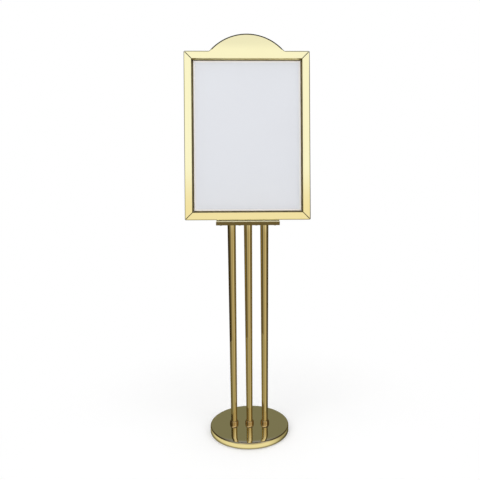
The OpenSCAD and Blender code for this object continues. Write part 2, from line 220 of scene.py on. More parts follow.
def calculate(tree, operation, *values):
    return addNode(tree, "ShaderNodeMath", dict(enumerate(values)), operation=operation).outputs["Value"]


def calculateVector(tree, operation, *values, result="Vector"):
    node = addNode(tree, "ShaderNodeVectorMath", dict(enumerate(values)), operation=operation)
    return node.outputs[result]


def mapValue(tree, value, low, high):  # from 0 to 1, to between the two
    mapped = addNode(tree, "ShaderNodeMapRange", {"Value": value, "To Min": low, "To Max": high})
    return mapped.outputs["Result"]


def shareBetween(tree, value, low, high):  # from between the two, to 0 to 1
    mapped = addNode(tree, "ShaderNodeMapRange", {"Value": value, "From Min": low, "From Max": high})
    return mapped.outputs["Result"]


def fadeBetween(tree, value, low, high, atLow=0.0, atHigh=1.0):
    fade = addNode(tree, "ShaderNodeMapRange",
                   {"Value": value, "From Min": low, "From Max": high, "To Min": atLow, "To Max": atHigh},
                   interpolation_type="SMOOTHSTEP")
    return fade.outputs["Result"]


def blend(tree, factor, first, second, kind="RGBA"):
    mix = addNode(tree, "ShaderNodeMix", {"Factor": factor, "A": first, "B": second}, data_type=kind)
    return mix.outputs["Result"]


def blendTones(tree, factor, light, deep):
    return blend(tree, factor, (*light, 1), (*deep, 1))


def makeRamp(tree, factor, stops):
    ramp = addNode(tree, "ShaderNodeValToRGB", {"Fac": factor})
    while len(ramp.color_ramp.elements) < len(stops):
        ramp.color_ramp.elements.new(0.5)
    for element, (position, colour) in zip(ramp.color_ramp.elements, stops):
        element.position = position
        element.color = (*colour, 1)
    return ramp.outputs["Color"]


def mixShaders(tree, factor, first, second):
    return addNode(tree, "ShaderNodeMixShader", {"Fac": factor, 1: first, 2: second}).outputs["Shader"]


def setSurface(tree, shader):
    feed(tree, tree.nodes["Material Output"], {"Surface": shader})


def newMaterial(name):
    material = bpy.data.materials.new(name)
    material.use_nodes = True
    tree = material.node_tree
    return material, tree, tree.nodes["Principled BSDF"]


def newGroup(name, inputs, outputs):
    group = bpy.data.node_groups.new(name, "ShaderNodeTree")
    for label, default in inputs.items():
        socket = group.interface.new_socket(label, in_out="INPUT", socket_type="NodeSocketFloat")
        socket.default_value = default
    for label in outputs:
        group.interface.new_socket(label, in_out="OUTPUT", socket_type="NodeSocketFloat")
    return group, addNode(group, "NodeGroupInput").outputs, addNode(group, "NodeGroupOutput")


# effects that several finishes share; a size here is a noise's scale, so a larger one is finer

polish = {"smudgeSize": 9.0, "smudgeDetail": 4, "smudgeRoughness": 0.62, "smudgeFade": (0.42, 0.72),
          "hairSize": 140.0, "hairDetail": 2, "hairTurn": (23, 12, 35), "hairStretch": (1, 14, 3),
          "driftSize": 2.3, "driftDetail": 2}
brushing = {"lineSize": 1, "lineDetail": 3, "patchSize": 14, "patchDetail": 3}
speckling = {"grainSize": 600.0, "grainDetail": 5, "grainRoughness": 0.7, "patchSize": 7, "patchDetail": 3}


def makePolishGroup():  # soft smudges and hair-fine wiping marks on polished metal
    group, given, result = newGroup("polishMarks", {"Smudge Size": polish["smudgeSize"],
                                                    "Hair Size": polish["hairSize"]},
                                    ["Smudge", "Hair", "Drift"])
    place = addNode(group, "ShaderNodeTexCoord").outputs["Object"]
    turn = [radians(angle) for angle in polish["hairTurn"]]
    wiped = addNode(group, "ShaderNodeMapping",
                    {"Vector": place, "Rotation": turn, "Scale": polish["hairStretch"]}).outputs["Vector"]
    smudge = addNoise(group, place, given["Smudge Size"], polish["smudgeDetail"], polish["smudgeRoughness"])
    feed(group, result, {"Smudge": fadeBetween(group, smudge, *polish["smudgeFade"]),
                         "Hair": addNoise(group, wiped, given["Hair Size"], polish["hairDetail"]),
                         "Drift": addNoise(group, place, polish["driftSize"], polish["driftDetail"])})
    return group


def makeGrainGroup():  # long fine lines of a brushed or drawn surface, along the chosen axis
    group, given, result = newGroup("brushedGrain", {"Along X": 1.0, "Along Y": 1.0, "Along Z": 1.0},
                                    ["Line", "Patch"])
    place = addNode(group, "ShaderNodeTexCoord").outputs["Object"]
    factors = addNode(group, "ShaderNodeCombineXYZ", {axis: given["Along " + axis] for axis in "XYZ"})
    drawn = calculateVector(group, "MULTIPLY", place, factors.outputs["Vector"])
    feed(group, result, {"Line": addNoise(group, drawn, brushing["lineSize"], brushing["lineDetail"]),
                         "Patch": addNoise(group, place, brushing["patchSize"], brushing["patchDetail"])})
    return group


def makeSpeckleGroup():  # grains, and the broad patchiness of cast, moulded and fibrous surfaces
    group, given, result = newGroup("speckle", {"Grain Size": speckling["grainSize"]}, ["Grain", "Patch"])
    place = addNode(group, "ShaderNodeTexCoord").outputs["Object"]
    feed(group, result, {"Grain": addNoise(group, place, given["Grain Size"], speckling["grainDetail"],
                                           speckling["grainRoughness"]),
                         "Patch": addNoise(group, place, speckling["patchSize"], speckling["patchDetail"])})
    return group


polishGroup = makePolishGroup()
grainGroup = makeGrainGroup()
speckleGroup = makeSpeckleGroup()

# finishes; light and deep are the two tones that each one drifts between

wear = {"hair": 0.4, "line": 0.5, "grain": 0.6, "ring": 1.0}  # how strongly each kind of mark shows
# how far a roughness strays: below and above on brushed metal, and both ways on a grainy surface
uneven = {"below": 0.06, "above": 0.08, "grainy": 0.08}
waveTurn = 20  # a wave texture of scale 1 turns this many radians in a metre


def finishShader(tree, shader, metallic, colour, roughness, height, depth, strength):
    bump = addNode(tree, "ShaderNodeBump", {"Height": height, "Distance": depth, "Strength": strength})
    feed(tree, shader, {"Metallic": metallic, "Base Color": colour, "Roughness": roughness,
                        "Normal": bump.outputs["Normal"]})


def makeGold(name, light, deep, roughness, smudged, hairDepth):
    material, tree, shader = newMaterial(name)
    marks = addNode(tree, "ShaderNodeGroup", node_tree=polishGroup).outputs
    finishShader(tree, shader, 1, blendTones(tree, marks["Drift"], light, deep),
                 mapValue(tree, marks["Smudge"], roughness, smudged), marks["Hair"], hairDepth, wear["hair"])
    return material


def addGrain(tree, along):
    sizes = {"Along " + axis: size for axis, size in zip("XYZ", along)}
    return addNode(tree, "ShaderNodeGroup", sizes, node_tree=grainGroup).outputs


def makeBrushed(name, light, deep, roughness, along, lineDepth):
    material, tree, shader = newMaterial(name)
    grain = addGrain(tree, along)
    patchy = mapValue(tree, grain["Patch"], roughness - uneven["below"], roughness + uneven["above"])
    finishShader(tree, shader, 1, blendTones(tree, grain["Line"], light, deep), patchy, grain["Line"],
                 lineDepth, wear["line"])
    return material


def makeThreaded(name, light, deep, smoothest, roughest, along, pitch):  # thread rings on an upright rod
    material, tree, shader = newMaterial(name)
    grain = addGrain(tree, along)
    place = addNode(tree, "ShaderNodeTexCoord").outputs["Object"]
    rings = addNode(tree, "ShaderNodeTexWave", {"Vector": place, "Scale": 2 * pi / (waveTurn * pitch)},
                    bands_direction="Z")
    finishShader(tree, shader, 1, blendTones(tree, grain["Line"], light, deep),
                 mapValue(tree, grain["Patch"], smoothest, roughest), rings.outputs["Fac"], pitch / 3,
                 wear["ring"])
    return material


def makeRough(name, light, deep, roughness, grainSize, depth, metallic=0.0):
    material, tree, shader = newMaterial(name)
    speckle = addNode(tree, "ShaderNodeGroup", {"Grain Size": grainSize}, node_tree=speckleGroup).outputs
    grainy = mapValue(tree, speckle["Grain"], roughness - uneven["grainy"], roughness + uneven["grainy"])
    finishShader(tree, shader, metallic, blendTones(tree, speckle["Patch"], light, deep), grainy,
                 speckle["Grain"], depth, wear["grain"])
    return material


goldMirror = makeGold("goldMirror", light=(0.95, 0.89, 0.73), deep=(0.93, 0.86, 0.69),
                      roughness=0.035, smudged=0.08, hairDepth=0.000006)
goldPole = makeGold("goldPole", light=(0.98, 0.87, 0.56), deep=(0.96, 0.84, 0.53),
                    roughness=0.03, smudged=0.08, hairDepth=0.000004)
# painted shade: a darker copy of the gold for the collars, standing in for their dark sides
collarPaintedShade = makeGold("collarPaintedShade", light=(0.84, 0.66, 0.42), deep=(0.81, 0.63, 0.39),
                      roughness=0.03, smudged=0.08, hairDepth=0.000004)
coverGold = {"light": (0.975, 0.925, 0.60), "deep": (0.955, 0.89, 0.54),
             "roughness": 0.02, "smudged": 0.04, "hairDepth": 0.000002}
goldFace = makeGold("goldFace", **coverGold)
# painted shade on the frame's inner lips and painted dark reflection on the head's front lip: a dark copy of
# the gold
paintedShadeLip = makeBrushed("paintedShadeLip", light=(0.27, 0.215, 0.10), deep=(0.22, 0.175, 0.08),
                      roughness=0.34, along=(420, 420, 420), lineDepth=0.00003)
# painted highlight: a pale, rough, non-metal copy of the gold for the head's level top
headTopPaintedHighlight = makeRough("headTopPaintedHighlight", light=(0.98, 0.93, 0.68), deep=(0.96, 0.90, 0.64),
                          roughness=0.26, grainSize=900, depth=0.00001)
# painted shade: a near-black copy of the gold along the mitre gaps and the crest's rounded edge
paintedEdgeShade = makeBrushed("paintedEdgeShade", light=(0.06, 0.052, 0.028), deep=(0.045, 0.04, 0.022),
                         roughness=0.30, along=(420, 420, 420), lineDepth=0.00002)
goldSatin = makeBrushed("goldSatin", light=(0.74, 0.63, 0.37), deep=(0.66, 0.55, 0.31),
                        roughness=0.32, along=(900, 40, 40), lineDepth=0.00004)
zincSteel = makeBrushed("zincSteel", light=(0.66, 0.67, 0.69), deep=(0.56, 0.57, 0.60),
                        roughness=0.3, along=(300, 300, 300), lineDepth=0.00003)
zincThread = makeThreaded("zincThread", light=(0.66, 0.67, 0.69), deep=(0.54, 0.55, 0.58),
                          smoothest=0.24, roughest=0.38, along=(300, 300, 300), pitch=0.00125)
springSteel = makeBrushed("springSteel", light=(0.40, 0.41, 0.43), deep=(0.30, 0.31, 0.34),
                          roughness=0.28, along=(40, 900, 900), lineDepth=0.00003)
castIron = makeRough("castIron", light=(0.16, 0.155, 0.15), deep=(0.11, 0.105, 0.10),
                     roughness=0.62, grainSize=900, depth=0.0004, metallic=0.6)
footRubber = makeRough("footRubber", light=(0.035, 0.034, 0.033), deep=(0.022, 0.022, 0.022),
                       roughness=0.72, grainSize=1400, depth=0.00012)
backBoard = makeRough("backBoard", light=(0.80, 0.80, 0.78), deep=(0.74, 0.74, 0.72),
                      roughness=0.55, grainSize=800, depth=0.00006)
insertField = makeRough("insertField", light=(0.80, 0.81, 0.84), deep=(0.79, 0.80, 0.83),
                        roughness=0.5, grainSize=1600, depth=0.00001)
insertMargin = makeRough("insertMargin", light=(0.98, 0.93, 0.87), deep=(0.96, 0.91, 0.85),
                         roughness=0.5, grainSize=1600, depth=0.00001)

# rimPaintedShade is the painted shade along the crest's rim
crest = {"width": 0.288, "rimFrom": 0.0053, "rimSolid": 0.0046, "rimPaintedShade": (0.05, 0.045, 0.025, 1)}
clearLook = {"tint": (0.97, 0.98, 1, 1), "bending": 1.49, "smoothest": 0.10, "roughest": 0.16}


def makeCrestFace(name):  # the covers' gold, with painted shade along the crest's arched rim
    material = makeGold(name, **coverGold)
    tree = material.node_tree
    rise = max(inFrame(vertex.co).z for vertex in frame["nodes"]["cover_top"].data.vertices) - frameHeight
    arch = (crest["width"] ** 2 / 4 + rise ** 2) / (2 * rise)
    middle = frameFoot + upward * (frameHeight + rise - arch)
    place = addNode(tree, "ShaderNodeTexCoord").outputs["Object"]
    offset = calculateVector(tree, "SUBTRACT", place, middle)
    fromAxis = calculateVector(tree, "CROSS_PRODUCT", offset, backward)
    reach = calculateVector(tree, "LENGTH", fromAxis, result="Value")
    height = calculateVector(tree, "DOT_PRODUCT", offset, upward, result="Value")
    aboveFrame = calculate(tree, "GREATER_THAN", height, arch - rise + crest["rimSolid"])
    # painted shade: a dark band along the crest's rim
    rim = calculate(tree, "MULTIPLY", aboveFrame,
                    shareBetween(tree, reach, arch - crest["rimFrom"], arch - crest["rimSolid"]))
    shader = tree.nodes["Principled BSDF"]
    plain = shader.inputs["Base Color"].links[0].from_socket
    feed(tree, shader, {"Base Color": blend(tree, rim, plain, crest["rimPaintedShade"])})
    return material


def makeClear(name):  # lets light through to the insert, and keeps a soft gloss
    material, tree, shader = newMaterial(name)
    marks = addNode(tree, "ShaderNodeGroup", node_tree=polishGroup).outputs
    hazy = mapValue(tree, marks["Smudge"], clearLook["smoothest"], clearLook["roughest"])
    feed(tree, shader, {"Base Color": clearLook["tint"], "IOR": clearLook["bending"],
                        "Transmission Weight": 1, "Roughness": hazy})
    rays = addNode(tree, "ShaderNodeLightPath").outputs
    through = calculate(tree, "MAXIMUM", rays["Is Shadow Ray"], rays["Is Diffuse Ray"])
    clear = addNode(tree, "ShaderNodeBsdfTransparent")
    setSurface(tree, mixShaders(tree, through, shader.outputs["BSDF"], clear.outputs["BSDF"]))
    return material


crestFace = makeCrestFace("crestFace")
clearPlastic = makeClear("clearPlastic")
print("materials made")


# camera, at the photograph's viewing angle

camera = {"place": (0.0127, -2.4989, 1.3657), "lens": 49.57, "sensor": 36, "pitch": 12.668, "yaw": 1.785,
          "shift": -0.0656}


def makeCamera():
    data = bpy.data.cameras.new("camera")
    data.lens = camera["lens"]
    data.sensor_width = camera["sensor"]
    data.shift_x = camera["shift"]
    made = bpy.data.objects.new("camera", data)
    made.location = camera["place"]
    sideways = Matrix.Rotation(radians(-camera["yaw"]), 3, "Z")
    down = Matrix.Rotation(radians(90 - camera["pitch"]), 3, "X")
    made.rotation_euler = (sideways @ down).to_euler()
    bpy.context.scene.collection.objects.link(made)
    bpy.context.scene.camera = made


makeCamera()
print("camera placed")


# floor, studio screens, lamps and world; the screens glow with painted reflections, seen only in the polished
# metal

studio = {"floorSize": 40, "floorLevel": -0.0004, "floorColour": (0.80, 0.80, 0.80, 1), "floorLift": 0.26,
          "floorPaleFrom": 0.42, "floorPaleTo": 1.0, "screenRadius": 1.05, "screenHeight": 2.0,
          "screenSides": 96, "matInner": 0.1606, "matLevel": -0.0002, "matSides": 128}


def seenRays(tree):
    rays = addNode(tree, "ShaderNodeLightPath").outputs
    direct = calculate(tree, "MAXIMUM", rays["Is Camera Ray"], rays["Is Glossy Ray"])
    return calculate(tree, "MAXIMUM", direct, rays["Is Transmission Ray"])


def splitPlace(tree):
    place = addNode(tree, "ShaderNodeTexCoord").outputs["Object"]
    return addNode(tree, "ShaderNodeSeparateXYZ", {"Vector": place}).outputs


def reachOf(tree, split):  # how far a place is from the sign's upright axis
    flat = addNode(tree, "ShaderNodeCombineXYZ", {"X": split["X"], "Y": split["Y"]})
    return calculateVector(tree, "LENGTH", flat.outputs["Vector"], result="Value")


def bearingTones(tree, split, tones):  # bearing 0 is in front, and it grows towards +X
    ahead = calculate(tree, "MULTIPLY", split["Y"], -1)
    bearing = calculate(tree, "ARCTAN2", split["X"], ahead)
    stops = [((angle + 180) / 360, tone) for angle, tone in tones]
    return makeRamp(tree, shareBetween(tree, bearing, -pi, pi), stops)


def stageTree(piece, name):  # gives the floor or a screen a material that has no shader yet
    material, tree, shader = newMaterial(name)
    tree.nodes.remove(shader)
    piece.data.materials.append(material)
    return tree


def makeFloor():
    bpy.ops.mesh.primitive_plane_add(size=studio["floorSize"], location=(0, 0, studio["floorLevel"]))
    floor = bpy.context.object
    floor.name = "floor"
    tree = stageTree(floor, "floorPaint")
    seen = seenRays(tree)
    matte = addNode(tree, "ShaderNodeBsdfDiffuse", {"Color": studio["floorColour"]})
    glow = addNode(tree, "ShaderNodeEmission",
                   {"Strength": calculate(tree, "MULTIPLY", seen, studio["floorLift"])})
    lit = addNode(tree, "ShaderNodeAddShader", {0: matte.outputs["BSDF"], 1: glow.outputs["Emission"]})
    white = addNode(tree, "ShaderNodeEmission")
    far = fadeBetween(tree, reachOf(tree, splitPlace(tree)), studio["floorPaleFrom"], studio["floorPaleTo"])
    setSurface(tree, mixShaders(tree, calculate(tree, "MULTIPLY", far, seen), lit.outputs["Shader"],
                                white.outputs["Emission"]))


def hideFromAllButGloss(screen):
    screen.visible_camera = False
    screen.visible_diffuse = False
    screen.visible_shadow = False
    screen.visible_transmission = False


# painted reflection tones of the low glowing screen round the sign, by bearing in degrees
screenTones = [(-180, (0.203, 0.194, 0.108)), (-158, (0.203, 0.194, 0.108)), (-146, (0.10, 0.083, 0.045)),
               (-125, (0.03, 0.018, 0.006)), (-72, (0.04, 0.032, 0.012)), (-54, (0.15, 0.12, 0.062)),
               (-34, (0.16, 0.138, 0.068)), (-20, (0.46, 0.395, 0.26)), (-8, (0.46, 0.386, 0.235)),
               (8, (0.38, 0.304, 0.149)), (24, (0.40, 0.331, 0.174)), (34, (0.62, 0.534, 0.347)),
               (48, (0.60, 0.515, 0.33)), (62, (0.10, 0.074, 0.028)), (110, (0.06, 0.046, 0.019)),
               (146, (0.10, 0.083, 0.045)), (158, (0.203, 0.194, 0.108)), (180, (0.203, 0.194, 0.108))]
# the same painted reflection tones round the base, on the floor
matTones = [(-180, (0.20, 0.175, 0.093)), (-120, (0.12, 0.10, 0.043)), (-80, (0.14, 0.12, 0.056)),
            (-55, (0.19, 0.166, 0.087)), (-30, (0.36, 0.32, 0.20)), (-14, (0.47, 0.413, 0.255)),
            (4, (0.36, 0.29, 0.14)), (22, (0.35, 0.28, 0.135)), (34, (0.58, 0.50, 0.31)),
            (50, (0.54, 0.465, 0.285)), (64, (0.09, 0.07, 0.026)), (110, (0.06, 0.047, 0.019)),
            (180, (0.20, 0.175, 0.093))]
# and close to the base's rim, bright, a painted highlight that the rim mirrors
rimTones = [(-180, (0.33, 0.30, 0.14)), (-100, (0.46, 0.40, 0.185)), (-60, (0.76, 0.68, 0.345)),
            (-30, (0.89, 0.81, 0.455)), (30, (0.89, 0.81, 0.455)), (46, (0.68, 0.62, 0.325)),
            (60, (0.40, 0.355, 0.17)), (90, (0.245, 0.22, 0.10)), (180, (0.25, 0.225, 0.113))]
# painted reflection tones of the tall sides, which the frame's rounded edges and inner lips mirror
sideTones = [(-180, (0.12, 0.11, 0.08)), (-125, (0.03, 0.02, 0.01)), (-100, (0.05, 0.045, 0.03)),
             (-80, (0.30, 0.29, 0.24)), (-60, (0.52, 0.52, 0.46)), (-30, (0.66, 0.66, 0.60)),
             (20, (0.40, 0.39, 0.34)), (45, (0.14, 0.13, 0.10)), (90, (0.05, 0.045, 0.03)),
             (125, (0.05, 0.04, 0.025)), (180, (0.12, 0.11, 0.08))]
# heights and places, in metres, between which the glowing screen's painted reflection changes or fades away;
# sides are shares of its radius
screenFade = {"low": (0.80, 1.0), "tall": (1.85, 1.98), "side": (0.45, 0.60), "lift": (0.60, 0.70),
              "veil": (1.16, 1.44), "ahead": (0.1, -0.4), "behind": (0.2, 0.5), "mat": (0.195, 0.215),
              "foot": (0.169, 0.180)}
# lift brightens the screen's painted reflection past white; footPaintedShadow dims the mat next to the base,
# a painted shadow
screenLook = {"lift": (1.45, 1.6, 2.1), "veil": (0.92, 0.83, 0.64, 1), "footPaintedShadow": 0.32}


def makeScreen():
    bpy.ops.mesh.primitive_cylinder_add(vertices=studio["screenSides"], radius=studio["screenRadius"],
                                        depth=studio["screenHeight"], end_fill_type="NOTHING",
                                        location=(0, 0, studio["screenHeight"] / 2))
    screen = bpy.context.object
    screen.name = "studioScreen"
    bpy.ops.object.transform_apply(location=True)
    tree = stageTree(screen, "screenPaintedReflection")
    split = splitPlace(tree)
    low, tall, lift, veil = (fadeBetween(tree, split["Z"], *screenFade[part])
                             for part in ("low", "tall", "lift", "veil"))
    ahead, behind = (fadeBetween(tree, split["Y"], *screenFade[part]) for part in ("ahead", "behind"))
    sideFrom, sideTo = (share * studio["screenRadius"] for share in screenFade["side"])
    side = fadeBetween(tree, calculate(tree, "ABSOLUTE", split["X"]), sideFrom, sideTo)
    tones = bearingTones(tree, split, screenTones)
    lifted = blend(tree, lift, tones, calculateVector(tree, "MULTIPLY", tones, screenLook["lift"]))
    veiled = blend(tree, ahead, tones, screenLook["veil"])
    high = blend(tree, side, veiled, bearingTones(tree, split, sideTones))
    colour = blend(tree, low, blend(tree, ahead, tones, lifted), high)
    gone = blend(tree, side, blend(tree, behind, veil, low, "FLOAT"), tall, "FLOAT")
    # a glow, no lamp: painted reflections that only the polished metal shows
    glow = addNode(tree, "ShaderNodeEmission", {"Color": colour})
    clear = addNode(tree, "ShaderNodeBsdfTransparent")
    setSurface(tree, mixShaders(tree, gone, glow.outputs["Emission"], clear.outputs["BSDF"]))
    hideFromAllButGloss(screen)


def makeMat():  # a flat glowing ring on the floor, with painted reflections for the base, dimmed next to the base as a painted shadow
    inner = studio["matInner"]
    bpy.ops.mesh.primitive_circle_add(vertices=studio["matSides"], radius=inner, fill_type="NOTHING",
                                      location=(0, 0, studio["matLevel"]))
    mat = bpy.context.object
    mat.name = "studioMat"
    bpy.ops.object.mode_set(mode="EDIT")
    growRing(studio["screenRadius"], inner, 0)
    bpy.ops.object.mode_set(mode="OBJECT")
    bpy.ops.object.transform_apply(location=True)
    tree = stageTree(mat, "matPaintedReflection")
    split = splitPlace(tree)
    reach = reachOf(tree, split)
    far = fadeBetween(tree, reach, *screenFade["mat"])
    colour = blend(tree, far, bearingTones(tree, split, rimTones), bearingTones(tree, split, matTones))
    # painted shadow: the mat dims next to the base, so the rim's foot mirrors a dark line
    foot = fadeBetween(tree, reach, *screenFade["foot"], screenLook["footPaintedShadow"], 1)
    glow = addNode(tree, "ShaderNodeEmission", {"Color": colour, "Strength": foot})
    setSurface(tree, glow.outputs["Emission"])
    hideFromAllButGloss(mat)


lampAim = (0, 0, 0.9)
lamps = {"key": {"place": (-1.9, -2.5, 2.9), "size": 2.4, "power": 34},
         "fill": {"place": (2.4, -2.2, 2.3), "size": 2.2, "power": 16},
         "top": {"place": (0.2, 0.3, 3.8), "size": 2.6, "power": 26}}


def makeLamp(name, look):
    data = bpy.data.lights.new(name, "AREA")
    data.shape = "SQUARE"
    data.size = look["size"]
    data.energy = look["power"]
    lamp = bpy.data.objects.new(name, data)
    lamp.location = look["place"]
    aim = Vector(lampAim) - Vector(look["place"])
    lamp.rotation_euler = aim.to_track_quat("-Z", "Y").to_euler()
    lamp.visible_glossy = False  # no lamp shows in the polished metal
    bpy.context.scene.collection.objects.link(lamp)


# the strength of the plain light on the object, and the sky's tone by the sine of its height
worldLook = {"soft": 0.78, "sky": [(-1.0, 1.0), (0.4633, 1.0), (0.4653, 0.90), (0.50, 0.88), (0.56, 0.34),
                                   (0.70, 0.16), (0.80, 0.05), (1.0, 0.03)]}


def makeWorld():
    world = bpy.data.worlds.new("studioWorld")
    bpy.context.scene.world = world
    world.use_nodes = True
    tree = world.node_tree
    tree.nodes.clear()
    place = addNode(tree, "ShaderNodeTexCoord").outputs["Generated"]
    split = addNode(tree, "ShaderNodeSeparateXYZ", {"Vector": place}).outputs
    stops = [((level + 1) / 2, (tone, tone, tone)) for level, tone in worldLook["sky"]]
    sky = makeRamp(tree, shareBetween(tree, split["Z"], -1, 1), stops)
    seen = addNode(tree, "ShaderNodeBackground", {"Color": sky})
    soft = addNode(tree, "ShaderNodeBackground", {"Strength": worldLook["soft"]})
    mixed = mixShaders(tree, seenRays(tree), soft.outputs["Background"], seen.outputs["Background"])
    addNode(tree, "ShaderNodeOutputWorld", {"Surface": mixed})


deselectAll()
makeFloor()
makeScreen()
makeMat()
for lampName, lampLook in lamps.items():
    makeLamp(lampName, lampLook)
makeWorld()
bpy.context.scene.view_settings.view_transform = "Standard"
print("studio set")


# base: spun cover, rubber pad and cast weight

base = {"wall": 0.0015, "edge": 0.005, "edgeSteps": 10, "roll": 0.005, "chamfer": 0.0006, "sides": 192,
        "crownFrom": 0.130, "crownDrop": 0.0011, "crownSteps": 5, "capInset": 0.002}


def crownTop(outer):  # the slightly domed top, in to its flat middle
    reached, risen = outer, 0.0
    for number in range(1, base["crownSteps"] + 1):
        share = number / base["crownSteps"]
        nextRadius = reached - (outer - base["crownFrom"]) / base["crownSteps"]
        nextRise = base["crownDrop"] * (1 - (1 - share) ** 2)
        growRing(nextRadius, reached, nextRise - risen)
        reached, risen = nextRadius, nextRise
    growRing(reached - base["capInset"], reached, 0)
    bpy.ops.mesh.edge_face_add()


def makeBaseCover():
    low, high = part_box("base_cover")
    radius = high.x
    rolled = radius - base["roll"]
    chamfer = base["chamfer"]
    deselectAll()
    bpy.ops.mesh.primitive_circle_add(vertices=base["sides"], radius=rolled, fill_type="NOTHING",
                                      location=(0, 0, low.z))
    cover = bpy.context.object
    bpy.ops.object.mode_set(mode="EDIT")
    growRing(radius - chamfer, rolled, 0)
    growRing(radius, radius - chamfer, chamfer)
    growRing(radius, radius, high.z - base["crownDrop"] - base["edge"] - low.z - chamfer)
    roundOver(radius, radius - base["edge"], base["edge"], base["edgeSteps"])
    crownTop(radius - base["edge"])
    bpy.ops.mesh.select_all(action="SELECT")
    bpy.ops.mesh.normals_make_consistent(inside=False)
    bpy.ops.object.mode_set(mode="OBJECT")
    addWall(cover, base["wall"])
    finishPiece(cover, "baseCover", "stand", [goldMirror], ["base_cover"])


makeBaseCover()
dressNode("floor_pad", "floorPad", "stand", footRubber, bevel=0.0008)
dressNode("base_weight", "baseWeight", "stand", castIron, bevel=0.001)
print("base modelled")


# poles and their foot collars

pole = {"footRadius": 0.0125, "wall": 0.0015, "sides": 96, "rim": 0.0003}
collar = {"band": 0.0025, "topRing": 0.0014, "clearance": 0.0001, "steps": 12, "sides": 96,
          "edge": 0.0005, "edgeFrom": 50, "merge": 0.00001}


def makePole(side):
    low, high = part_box("pole_" + side)
    deselectAll()
    bpy.ops.mesh.primitive_cone_add(vertices=pole["sides"], radius1=pole["footRadius"],
                                    radius2=(high.x - low.x) / 2, depth=high.z - low.z,
                                    end_fill_type="NOTHING", location=(low + high) / 2)
    tube = bpy.context.object
    addWall(tube, pole["wall"])
    bevelEdges(tube, pole["rim"])
    finishPiece(tube, "pole" + side.capitalize(), "stand", [goldPole], ["pole_" + side])


def makeCollar(side):
    low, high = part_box("foot_collar_" + side)
    middle = (low.x + high.x) / 2
    radius = (high.x - low.x) / 2
    height = high.z - low.z
    poleLow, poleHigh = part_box("pole_" + side)
    footSlope = (poleHigh.x - middle - pole["footRadius"]) / (poleHigh.z - poleLow.z)
    bore = pole["footRadius"] + footSlope * height + collar["clearance"]
    ring = bore + collar["topRing"]
    deselectAll()
    bpy.ops.mesh.primitive_circle_add(vertices=collar["sides"], radius=bore, fill_type="NOTHING",
                                      location=(middle, 0, low.z))
    piece = bpy.context.object
    bpy.ops.object.mode_set(mode="EDIT")
    growRing(radius, bore, 0, middle)
    growRing(radius, radius, collar["band"], middle)
    roundOver(radius, ring, height - collar["band"], collar["steps"], middle)
    growRing(bore, ring, 0, middle)
    growRing(bore, bore, -height, middle)
    bpy.ops.mesh.select_all(action="SELECT")
    bpy.ops.mesh.remove_doubles(threshold=collar["merge"])
    bpy.ops.mesh.normals_make_consistent(inside=False)
    bpy.ops.object.mode_set(mode="OBJECT")
    bevelEdges(piece, collar["edge"], angle=collar["edgeFrom"])
    finishPiece(piece, "footCollar" + side.capitalize(), "stand", [collarPaintedShade],
                ["foot_collar_" + side])


for side in ("left", "center", "right"):
    makePole(side)
    makeCollar(side)
print("poles modelled")


# head, rails and covers

def makeHead():  # the mirror gold head; its level top gets a pale, rough material, a painted highlight, and its front lip a darker one, painted shade
    head = dressNode("head_cradle", "headCradle", "stand", goldMirror, bevel=0.0004)
    head.data.materials.append(headTopPaintedHighlight)
    head.data.materials.append(paintedShadeLip)
    for face in head.data.polygons:
        if face.normal.z > straight:
            face.material_index = 1
        elif face.normal.y < -straight:
            face.material_index = 2


makeHead()
dressNode("head_plate", "headPlate", "stand", zincSteel, bevel=0.0003)
for side in ("top", "bottom", "left", "right"):
    dressNode("rail_" + side, "rail" + side.capitalize(), "stand", goldSatin, bevel=0.00025)

# lipFrom and topLipFrom: where the inner lips' painted shade starts, deeper on the top cover so that its
# upper band stays plain gold
covers = {"lipFrom": 0.0285, "topLipFrom": 0.0332, "edge": 0.0003, "edgeSteps": 3, "crestEdge": 0.0026,
          "crestSteps": 5, "mitreEdge": 0.0006, "mitreSteps": 3, "mitreGap": 0.001, "mitreStrip": 0.0021,
          "mitreFrom": 0.0008, "sharpFrom": 40}
# how far the normals of the front, a mitre, the flat face and the crest's edge agree with the frame's front
facings = {"front": 0.1, "mitre": 0.3, "flat": 0.998, "edge": -0.3}
nearly = {"face": 0.0002, "top": 0.0001, "crest": 0.0005}  # how far from the frame's face or top still counts
# the corners that each cover meets; to the right is 1, and so is up
coverCorners = {"top": ((-1, 1), (1, 1)), "bottom": ((-1, -1), (1, -1)),
                "left": ((-1, 1), (-1, -1)), "right": ((1, 1), (1, -1))}


def facing(face):
    return -face.normal.dot(backward)


def isSharp(edge):
    return len(edge.link_faces) == 2 and edge.calc_face_angle() > radians(covers["sharpFrom"])


def isCrestEdge(edge):
    ends = [inFrame(vertex.co) for vertex in edge.verts]
    onFace = all(end.y < nearly["face"] for end in ends)
    return isSharp(edge) and onFace and all(end.z > frameHeight - nearly["top"] for end in ends)


def isMitreEdge(edge):
    if not isSharp(edge) or max(facing(face) for face in edge.link_faces) < facings["mitre"]:
        return False
    inward = [fromSides(vertex.co) for vertex in edge.verts]
    return all(abs(fromSide - fromEnd) < covers["mitreGap"] for fromSide, fromEnd in inward)


def isLip(face):
    return facing(face) > facings["front"] and min(fromSides(face.calc_center_median())) > covers["lipFrom"]


def cutMitreStrips(side):  # a narrow strip along each mitre, for the painted shade of the mitre's gap
    strip = covers["mitreStrip"]
    upright = side in ("left", "right")
    for way, level in coverCorners[side]:
        across = way * (frameWidth / 2 - (0 if upright else strip))
        height = (frameHeight if level > 0 else 0) - level * (strip if upright else 0)
        slope = Vector((way, 0, 0)) - upward * level
        selectParts("FACE", lambda face: facing(face) > straight)
        bpy.ops.mesh.bisect(plane_co=frameFoot + Vector((across, 0, 0)) + upward * height,
                            plane_no=slope.normalized())


